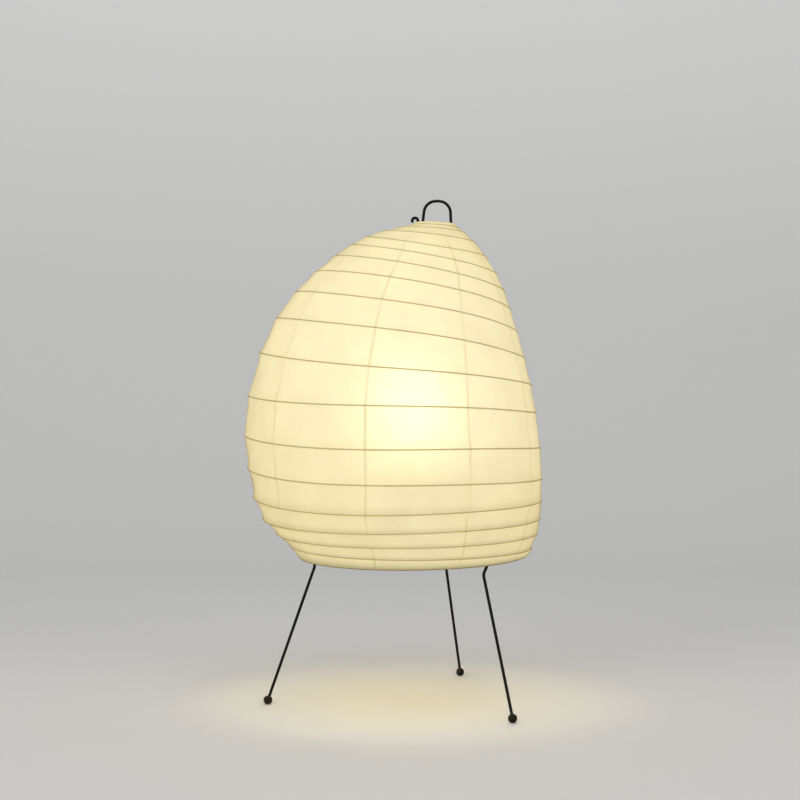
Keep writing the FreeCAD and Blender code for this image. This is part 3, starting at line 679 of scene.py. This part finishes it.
sheetLook = {
    "colour": (0.735, 0.688, 0.514, 1.0), "shadow": (0.38, 0.33, 0.15, 1.0),
    "edge": (0.972, 0.967, 0.958, 1.0), "lapTintAndFoldShade": (0.867, 0.886, 0.81, 1.0),
    "farGlow": (0.98, 0.74, 0.10, 1.0), "nearGlow": (1.0, 0.86, 0.46, 1.0),
    "reach": 125 * mm, "dim": 0.66, "strength": 0.409, "pass": 0.073,
    "fineness": 210.0, "cloud": 0.11, "strand": 0.04,
    # fold sets how dark the painted shade along the folds is
    "lapEdge": 0.05, "ragged": 0.05, "raggedCloud": (0.25, 0.7), "hemShade": 0.58, "fold": 0.30,
    # painted shade just above each rib and painted light just below it, kept mostly to the low paper
    "aboveRib": 0.30, "aboveReach": 0.38, "belowRib": 0.12, "belowReach": (0.86, 0.97),
    "lowPaper": (150 * mm, 205 * mm), "highShare": 0.15,
    "strandRelief": 0.5, "bump": 0.25, "bumpDepth": 0.1 * mm,
}
# the paper over the rib is a darker tan: the rib's painted shadow in the bulb's light, darker still near
# the bulb
ribShadowRidgeLook = {
    **sheetLook, "colour": (0.535, 0.428, 0.182, 1.0), "shadow": (0.34, 0.27, 0.10, 1.0),
    "farGlow": (0.84, 0.63, 0.18, 1.0), "nearGlow": (0.32, 0.37, 0.17, 1.0),
    "strength": 0.24, "pass": 0.0, "aboveRib": 0.12, "belowRib": 0.0,
}
# the rolled hems are dark brown: painted shade on the rolled paper over its hoop
hemRollShadeLook = {
    **sheetLook, "colour": (0.34, 0.24, 0.11, 1.0), "shadow": (0.20, 0.13, 0.05, 1.0),
    "strength": 0.05, "pass": 0.0,
}


def paperMaterial(name, look):
    # the coat's edge tint paints shade where the sheet is seen edge-on
    material, tree, shader = newMaterial(name, {
        "Roughness": 1.0, "IOR": 1.3, "Transmission Weight": look["pass"],
        "Emission Strength": look["strength"], "Coat Weight": 1.0, "Coat Roughness": 1.0,
        "Coat IOR": 1.0, "Coat Tint": look["edge"]})
    fibres = useGroup(tree, groups["fibre"], {"Fineness": look["fineness"]})
    glow = useGroup(tree, groups["glow"], {"Bulb": bulbMiddle, "Reach": look["reach"]})

    def marked(mark):
        return addNode(tree, "ShaderNodeAttribute", None, attribute_name=mark).outputs["Fac"]

    cloud = mapValue(tree, fibres["Cloud"], 0.0, 1.0, 1.0 - look["cloud"], 1.0)
    strand = mapValue(tree, fibres["Fibre"], 0.0, 1.0, 1.0, 1.0 - look["strand"])
    ragged = mapValue(tree, fibres["Cloud"], *look["raggedCloud"], look["ragged"], 1.0)
    lapped = mapValue(tree, marked("lap"), 0.0, look["lapEdge"], 0.0, 1.0)
    lapped = calc(tree, "MULTIPLY", lapped, ragged)
    hemShade = easeValue(tree, marked("hem"), 0.0, 1.0, 1.0, look["hemShade"])
    low = partsOf(tree, objectPlace(tree))[2]
    low = easeValue(tree, low, *look["lowPaper"], 1.0, look["highShare"])
    rise = marked("rise")
    # painted shade just above a rib, where the paper faces away from the bulb, and painted light just
    # below one, where it faces the bulb
    paintedShadeAboveRib = easeValue(tree, rise, 0.0, look["aboveReach"], look["aboveRib"], 0.0)
    paintedLightBelowRib = easeValue(tree, rise, *look["belowReach"], 0.0, look["belowRib"])
    # crease carries that painted shade and light along the ribs
    crease = calc(tree, "MULTIPLY_ADD", calc(tree, "SUBTRACT", paintedLightBelowRib, paintedShadeAboveRib), low, 1.0)
    paintedFoldShade = calc(tree, "MULTIPLY", calc(tree, "MULTIPLY", fibres["Fold"], low), look["fold"])
    lapTintAndFoldShade = calc(tree, "MAXIMUM", lapped, paintedFoldShade)  # a lap's two layers of paper, and painted shade along the folds
    lapTintAndFoldShade = mixValues(tree, "RGBA", lapTintAndFoldShade, (1.0, 1.0, 1.0, 1.0), look["lapTintAndFoldShade"])
    sheet = calc(tree, "MULTIPLY", cloud, strand)
    sheet = calc(tree, "MULTIPLY", sheet, calc(tree, "MULTIPLY", crease, hemShade))
    # the emission is painted light: the bulb's light shining through the sheet
    light = mapValue(tree, glow["Light"], 0.0, 1.0, look["dim"], 1.0)
    light = calc(tree, "MULTIPLY", light, sheet)
    warmth = mixValues(tree, "RGBA", glow["Light"], look["farGlow"], look["nearGlow"])
    plain = mixValues(tree, "RGBA", sheet, look["shadow"], look["colour"])
    relief = calc(tree, "MULTIPLY", fibres["Fibre"], look["strandRelief"])
    relief = calc(tree, "ADD", relief, fibres["Cloud"])
    setInputs(tree, shader, {
        "Base Color": vecCalc(tree, "MULTIPLY", plain, lapTintAndFoldShade),
        "Emission Color": scaleBy(tree, vecCalc(tree, "MULTIPLY", warmth, lapTintAndFoldShade), light),
        "Normal": bumpFrom(tree, relief, look["bump"], look["bumpDepth"])})
    return material


wornLooks = {
    "blackWire": {
        "colour": (0.004, 0.0035, 0.003, 1.0), "marked": (0.010, 0.008, 0.006, 1.0),
        "shader": {"Specular IOR Level": 0.1},
        "scale": 90.0, "amount": 0.7, "rough": (0.36, 0.52), "bump": 0.15},
    "blackBall": {
        "colour": (0.006, 0.0045, 0.0025, 1.0), "marked": (0.016, 0.012, 0.007, 1.0),
        # the warm specular tint paints the lamp's warm light into the ball's reflections
        "shader": {"Specular IOR Level": 0.2, "Specular Tint": (1.0, 0.86, 0.62, 1.0)},
        "scale": 160.0, "amount": 0.8, "rough": (0.14, 0.28), "bump": 0.2},
    "hoopSteel": {
        "colour": (0.42, 0.40, 0.36, 1.0), "marked": (0.25, 0.23, 0.20, 1.0),
        "shader": {"Metallic": 1.0},
        "scale": 120.0, "amount": 0.8, "rough": (0.3, 0.5), "bump": 0.1},
    "turnedBrass": {
        "colour": (0.72, 0.52, 0.22, 1.0), "marked": (0.45, 0.30, 0.12, 1.0),
        "shader": {"Metallic": 1.0},
        "scale": 150.0, "amount": 0.7, "rough": (0.25, 0.42), "bump": 0.1},
    "blackPhenolic": {
        "colour": (0.016, 0.014, 0.013, 1.0), "marked": (0.04, 0.034, 0.03, 1.0),
        "shader": {},
        "scale": 110.0, "amount": 0.6, "rough": (0.25, 0.4), "bump": 0.08},
    "porcelain": {
        "colour": (0.84, 0.83, 0.79, 1.0), "marked": (0.74, 0.71, 0.64, 1.0),
        "shader": {"Coat Weight": 0.6},
        "scale": 80.0, "amount": 0.5, "rough": (0.15, 0.25), "bump": 0.03},
    "rolledCap": {
        "colour": (0.70, 0.70, 0.69, 1.0), "marked": (0.48, 0.47, 0.45, 1.0),
        "shader": {"Metallic": 1.0},
        "scale": 140.0, "amount": 0.7, "rough": (0.22, 0.38), "bump": 0.08},
    "blackGlass": {
        "colour": (0.012, 0.012, 0.013, 1.0), "marked": (0.02, 0.02, 0.02, 1.0),
        "shader": {},
        "scale": 90.0, "amount": 0.4, "rough": (0.08, 0.14), "bump": 0.02},
    "solderBead": {
        "colour": (0.58, 0.58, 0.59, 1.0), "marked": (0.36, 0.35, 0.34, 1.0),
        "shader": {"Metallic": 1.0},
        "scale": 260.0, "amount": 0.8, "rough": (0.3, 0.5), "bump": 0.25},
}
wornDepth = 0.05 * mm


def wornMaterial(name, look):
    material, tree, shader = newMaterial(name, look["shader"])
    wear = wearOf(tree, look)
    setInputs(tree, shader, {
        "Base Color": mixValues(tree, "RGBA", wear["Mark"], look["colour"], look["marked"]),
        "Roughness": mapValue(tree, wear["Grain"], *noiseRange, *look["rough"]),
        "Normal": bumpFrom(tree, wear["Grain"], look["bump"], wornDepth)})
    return material


bambooLook = {
    "colour": (0.45, 0.33, 0.14, 1.0), "marked": (0.26, 0.18, 0.07, 1.0), "shader": {"Roughness": 0.6},
    "scale": 160.0, "amount": 0.8, "bump": 0.3, "bumpDepth": 0.1 * mm,
}


def bambooMaterial(look):
    material, tree, shader = newMaterial("splitBamboo", look["shader"])
    wear = wearOf(tree, look)
    setInputs(tree, shader, {
        "Base Color": mixValues(tree, "RGBA", wear["Mark"], look["colour"], look["marked"]),
        "Normal": bumpFrom(tree, wear["Grain"], look["bump"], look["bumpDepth"])})
    return material


bulbLook = {
    "shader": {"Roughness": 0.35, "IOR": 1.45, "Emission Strength": 14.6, "Coat Weight": 0.4},
    "neckGlow": (0.75, 0.55, 0.28, 1.0), "globeGlow": (1.0, 0.89, 0.55, 1.0),
    "colour": (0.93, 0.92, 0.88, 1.0), "marked": (0.84, 0.82, 0.76, 1.0), "scale": 300.0, "amount": 0.4,
}


def bulbMaterial(look):
    # frosted inside: a soft bright globe, a little dimmer towards the neck
    material, tree, shader = newMaterial("frostedGlass", look["shader"])
    glow = useGroup(tree, groups["glow"], {"Bulb": bulbMiddle, "Reach": globeRadius})
    frost = wearOf(tree, look)
    warm = mixValues(tree, "RGBA", glow["Nearness"], look["neckGlow"], look["globeGlow"])
    setInputs(tree, shader, {
        "Emission Color": warm,
        "Base Color": mixValues(tree, "RGBA", frost["Mark"], look["colour"], look["marked"])})
    return material


clearLook = {
    "shader": {"IOR": 1.5, "Transmission Weight": 0.85, "Base Color": (0.90, 0.93, 0.92, 1.0)},
    "scale": 120.0, "amount": 0.3, "rough": (0.03, 0.10),
}


def clearGlassMaterial(look):
    material, tree, shader = newMaterial("clearGlass", look["shader"])
    rough = mapValue(tree, wearOf(tree, look)["Grain"], *noiseRange, *look["rough"])
    setInputs(tree, shader, {"Roughness": rough})
    return material


filamentLook = {
    "shader": {"Metallic": 1.0, "Emission Strength": 6.0, "Base Color": (0.45, 0.43, 0.40, 1.0)},
    "hot": (1.0, 0.72, 0.36, 1.0), "cooler": (1.0, 0.55, 0.2, 1.0), "scale": 400.0, "amount": 0.5,
}


def filamentMaterial(look):
    material, tree, shader = newMaterial("filamentWire", look["shader"])
    hot = mixValues(tree, "RGBA", wearOf(tree, look)["Mark"], look["hot"], look["cooler"])
    setInputs(tree, shader, {"Emission Color": hot})
    return material


finishes = {name: wornMaterial(name, look) for name, look in wornLooks.items()}
finishes["sheet"] = paperMaterial("paperSheet", sheetLook)
finishes["ridge"] = paperMaterial("paperOverRibInPaintedShadow", ribShadowRidgeLook)
finishes["hem"] = paperMaterial("paperHem", hemRollShadeLook)
finishes["bamboo"] = bambooMaterial(bambooLook)
finishes["bulb"] = bulbMaterial(bulbLook)
finishes["clearGlass"] = clearGlassMaterial(clearLook)
finishes["filament"] = filamentMaterial(filamentLook)
print("finishes made:", len(finishes))


# Shade pieces


def foldsDown(piece):
    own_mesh(piece)


guide = buildGuide()
shadePoint = shadePointTree()
creasePoint = creasePointTree(shadePoint)
paperTree = goreTree(creasePoint)
goreValues = {**gorePaper, "Guide": guide, "Paper": finishes["sheet"], "Ridge Paper": finishes["ridge"]}
for number in range(1, shade["gores"] + 1):
    node = "paper_gore_" + str(number)
    goreValues["Gore"] = float(number - 1)
    gore = pieceFromTree("gorePaper" + str(number), paperTree, goreValues)
    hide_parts(node)
    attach(gore, standBody)
    foldsDown(gore)
print("paper gores made:", shade["gores"])

ribValues = {**bambooRib, "Guide": guide, "Bamboo": finishes["bamboo"]}
rib = pieceFromTree("ribStrip", ribTree(shadePoint), ribValues)
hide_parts("bamboo_rib")
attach(rib, standBody)
foldsDown(rib)

rollTree = hemTree(shadePoint)
for name, hem, body in (("hemBottom", bottomHem, standBody), ("hemTop", topHem, ringBody)):
    roll = pieceFromTree(name, rollTree, {**hem, "Guide": guide, "Paper": finishes["hem"]})
    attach(roll, body)
bpy.data.objects.remove(guide)
print("rib and hems made")


# Screw threads on the stem, the bulb's cap and the shell that it turns in

screwThread = {"pitch": 3.629 * mm, "depth": 0.6 * mm, "sides": 64, "rowsPerTurn": 12}
stemThread = {"pitch": 1.0 * mm, "depth": 0.32 * mm, "sides": 40, "rowsPerTurn": 4}
stemPipe = {"outside": 10.0 * mm, "bore": 7.0 * mm}
threadedTubes = {
    "threaded_stem": {
        "piece": "stemTube", "body": standBody, "slot": "stem_brass", "finish": "turnedBrass",
        "thread": stemThread, "Wall": (stemPipe["outside"] - stemPipe["bore"]) / 2, "Floor": 0.0,
        "Round": 0.0, "Rolled": 0.0, "Plain Low": 0.3 * mm, "Plain High": 0.3 * mm},
    "screw_shell": {
        "piece": "shellTube", "body": standBody, "slot": "contact_brass", "finish": "turnedBrass",
        "thread": screwThread, "Wall": 0.5 * mm, "Floor": 0.0,
        "Round": 0.0, "Rolled": 1.0, "Plain Low": 4.0 * mm, "Plain High": 0.5 * mm},
    "bulb_cap": {
        "piece": "capTube", "body": bulbBody, "slot": "bulb_cap_metal", "finish": "rolledCap",
        "thread": screwThread, "Wall": 0.35 * mm, "Floor": 8.5 * mm,
        "Round": 1.8 * mm, "Rolled": 1.0, "Plain Low": 2.0 * mm, "Plain High": 6.0 * mm},
}
tubeEdges = {"weld": 0.002 * mm, "sharp": math.radians(50)}


def threadTree():
    # a tube whose wall follows a right-hand helix, with plain ends and an optional turned-in floor
    tree, given, result = newTree(
        "threadedTube", "GeometryNodeTree",
        {"Sides": "Int", "Rows": "Int", "Axis": "Vector", "Radius": "Float", "Low": "Float",
         "High": "Float", "Wall": "Float", "Floor": "Float", "Round": "Float", "Rolled": "Float",
         "Pitch": "Float", "Depth": "Float", "Start": "Float", "Plain Low": "Float",
         "Plain High": "Float", "Metal": "Material"},
        {"Geometry": "Geometry"})
    # rows go up the outside, down the inside and back to the start
    lastRow = calc(tree, "MULTIPLY_ADD", given["Rows"], 2.0, 2.0)
    shape, around, row = unitGrid(tree, given["Sides"], lastRow)
    notLast = calc(tree, "LESS_THAN", row, calc(tree, "SUBTRACT", lastRow, 0.5))
    row = calc(tree, "MULTIPLY", row, notLast)
    inside = calc(tree, "GREATER_THAN", row, calc(tree, "ADD", given["Rows"], 0.5))
    returning = calc(tree, "SUBTRACT", calc(tree, "MULTIPLY_ADD", given["Rows"], 2.0, 1.0), row)
    step = mixValues(tree, "FLOAT", inside, row, returning)
    climb = calc(tree, "DIVIDE", step, given["Rows"])
    height = mapValue(tree, climb, 0.0, 1.0, given["Low"], given["High"])
    climbed = calc(tree, "DIVIDE", calc(tree, "SUBTRACT", height, given["Start"]), given["Pitch"])
    wave = calc(tree, "PINGPONG", calc(tree, "SUBTRACT", climbed, around), 0.5)
    wave = easeValue(tree, wave, 0.0, 0.5, 0.0, 1.0)
    runIn = calc(tree, "ADD", given["Low"], given["Plain Low"])
    runOut = calc(tree, "SUBTRACT", given["High"], given["Plain High"])
    half = calc(tree, "MULTIPLY", given["Pitch"], 0.5)
    begun = easeValue(tree, height, runIn, calc(tree, "ADD", runIn, half), 0.0, 1.0)
    ended = easeValue(tree, height, calc(tree, "SUBTRACT", runOut, half), runOut, 1.0, 0.0)
    cut = calc(tree, "MULTIPLY", wave, given["Depth"])
    cut = calc(tree, "MULTIPLY", calc(tree, "MULTIPLY", begun, ended), cut)
    shared = mixValues(tree, "FLOAT", inside, 1.0, given["Rolled"])  # a solid wall keeps a plain bore
    cut = calc(tree, "MULTIPLY", cut, shared)
    fromFoot = calc(tree, "SUBTRACT", height, given["Low"])
    rounded = calc(tree, "MAXIMUM", calc(tree, "SUBTRACT", given["Round"], fromFoot), 0.0)
    radius = calc(tree, "SUBTRACT", given["Radius"], calc(tree, "MULTIPLY", inside, given["Wall"]))
    radius = calc(tree, "SUBTRACT", radius, calc(tree, "ADD", cut, rounded))
    atFoot = calc(tree, "LESS_THAN", step, 0.5)
    floored = calc(tree, "MULTIPLY", atFoot, calc(tree, "GREATER_THAN", given["Floor"], 0.0))
    radius = mixValues(tree, "FLOAT", floored, radius, given["Floor"])
    lifted = calc(tree, "MULTIPLY", calc(tree, "MULTIPLY", inside, floored), given["Wall"])
    angle = calc(tree, "MULTIPLY", around, 2 * math.pi)
    point = nodeOut(tree, "ShaderNodeCombineXYZ", {
        0: calc(tree, "MULTIPLY", radius, calc(tree, "COSINE", angle)),
        1: calc(tree, "MULTIPLY", radius, calc(tree, "SINE", angle)),
        2: calc(tree, "ADD", height, lifted)})
    shape = moveShape(tree, shape, "Position", vecCalc(tree, "ADD", point, given["Axis"]))
    shape = nodeOut(tree, "GeometryNodeMergeByDistance", {
        "Geometry": shape, "Distance": tubeEdges["weld"]})
    corner = tree.nodes.new("GeometryNodeInputMeshEdgeAngle").outputs["Unsigned Angle"]
    sharp = calc(tree, "GREATER_THAN", corner, tubeEdges["sharp"])
    shape = nodeOut(tree, "GeometryNodeSetShadeSmooth", {
        "Geometry": shape, "Selection": sharp, "Shade Smooth": False}, domain="EDGE")
    setInputs(tree, result, {"Geometry": dressShape(tree, shape, given["Metal"])})
    return tree


tubeTree = threadTree()
# the cap's thread and the shell's run in step from this height
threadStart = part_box("screw_shell")[0][2]
for node, tube in threadedTubes.items():
    low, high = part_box(node)
    thread = tube["thread"]
    turns = (high[2] - low[2]) / thread["pitch"]
    tubeValues = {
        **tube, "Sides": thread["sides"], "Rows": int(turns * thread["rowsPerTurn"]),
        "Axis": Vector((axisX, 0.0, 0.0)), "Radius": (high[0] - low[0]) / 2,
        "Low": low[2], "High": high[2], "Start": threadStart,
        "Pitch": thread["pitch"], "Depth": thread["depth"],
        "Metal": finishes[tube["finish"]]}
    piece = pieceFromTree(tube["piece"], tubeTree, tubeValues)
    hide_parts(node)
    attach(piece, tube["body"])
print("threads cut:", len(threadedTubes))


# Finishes on the pieces that keep their solids

nodeFinishes = {
    "blackWire": ["leg_wire_1", "leg_wire_2", "leg_wire_3", "stretcher_wire", "stand_hub"],
    "blackBall": ["foot_ball_1", "foot_ball_2", "foot_ball_3"],
    "hoopSteel": ["bottom_hoop", "top_hoop"],
    "turnedBrass": ["stem_nuts", "terminal_screws", "centre_contact"],
    "blackPhenolic": ["holder_cap", "holder_sleeve"],
    "porcelain": ["holder_insert"],
    "blackGlass": ["bulb_insulator"],
    "solderBead": ["bulb_tip"],
    "bulb": ["bulb_glass"],
    "clearGlass": ["bulb_mount"],
    "filament": ["bulb_filament"],
}
for finish, nodes in nodeFinishes.items():
    for node in nodes:
        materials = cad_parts[node].data.materials
        materials.clear()
        materials.append(finishes[finish])
print("solids finished")


# Stage: a pale floor that sweeps up into a backdrop, with painted shade darkening the wall and painted
# light brightening it high up

stage = {
    "width": 9.0, "front": -14.0, "frontWidth": 40.0, "back": 2.2, "height": 5.0,
    "bend": 1.2, "bendSteps": 24,
    "floor": (0.765, 0.76, 0.748, 1.0), "shadedWall": (0.72, 0.72, 0.715, 1.0),
    "high": (0.872, 0.872, 0.872, 1.0),
    "wallFade": (-0.3, 1.2), "highFade": (0.35, 1.3),
}


def buildStage():
    outline = [(stage["front"], 0.0)]
    bend = stage["bend"]
    for step in range(stage["bendSteps"] + 1):
        angle = math.radians(-90 + 90 * step / stage["bendSteps"])
        outline.append((stage["back"] - bend + bend * math.cos(angle), bend + bend * math.sin(angle)))
    outline.append((stage["back"], stage["height"]))
    halves = [stage["frontWidth"] / 2] + [stage["width"] / 2] * (len(outline) - 1)
    points = [(side * half, y, z) for half, (y, z) in zip(halves, outline) for side in (-1, 1)]
    faces = [(2 * i, 2 * i + 1, 2 * i + 3, 2 * i + 2) for i in range(len(outline) - 1)]
    mesh = bpy.data.meshes.new("backdrop")
    mesh.from_pydata(points, [], faces)
    mesh.shade_smooth()
    backdrop = bpy.data.objects.new("backdrop", mesh)
    bpy.context.collection.objects.link(backdrop)
    material, tree, shader = newMaterial("palePaintWithPaintedLight", {"Roughness": 0.7})
    spot = partsOf(tree, objectPlace(tree))
    # painted shade on the wall and painted light high up
    back = easeValue(tree, spot[1], *stage["wallFade"], 0.0, 1.0)
    up = easeValue(tree, spot[2], *stage["highFade"], 0.0, 1.0)
    paint = mixValues(tree, "RGBA", back, stage["floor"], stage["shadedWall"])
    setInputs(tree, shader, {"Base Color": mixValues(tree, "RGBA", up, paint, stage["high"])})
    mesh.materials.append(material)


buildStage()


# Light and camera

lights = {
    "overhead": {"place": (0.0, -1.3, 2.9), "size": 2.2, "watts": 18.5},
    "frontLeft": {"place": (-2.2, -2.6, 1.2), "size": 1.8, "watts": 29.0},
    "frontRight": {"place": (2.4, -2.4, 1.0), "size": 1.8, "watts": 19.0},
}
lightsAim = Vector((0.0, 0.0, 0.22))
for name, light in lights.items():
    lamp = bpy.data.lights.new(name, "AREA")
    lamp.size = light["size"]
    lamp.energy = light["watts"]
    holder = bpy.data.objects.new(name, lamp)
    holder.location = light["place"]
    holder.rotation_euler = (lightsAim - Vector(light["place"])).to_track_quat("-Z", "Y").to_euler()
    bpy.context.collection.objects.link(holder)

roomLight = {"Color": (1.0, 1.0, 1.0, 1.0), "Strength": 0.45}
world = bpy.data.worlds.new("softRoom")
world.use_nodes = True
setInputs(world.node_tree, world.node_tree.nodes["Background"], roomLight)
bpy.context.scene.world = world

camera = {
    "place": (5.6 * mm, -1372 * mm, 262.6 * mm), "pitch": 0.15,
    "focalPixels": 1588.0, "framePixels": 800.0, "sensor": 36.0,
}
eye = bpy.data.cameras.new("camera")
eye.sensor_width = camera["sensor"]
eye.lens = eye.sensor_width * camera["focalPixels"] / camera["framePixels"]
eyeHolder = bpy.data.objects.new("camera", eye)
eyeHolder.location = camera["place"]
eyeHolder.rotation_euler = (math.radians(90.0 - camera["pitch"]), 0.0, 0.0)
bpy.context.collection.objects.link(eyeHolder)
bpy.context.scene.camera = eyeHolder
bpy.context.scene.view_settings.view_transform = "Standard"
print("stage, light and camera set")
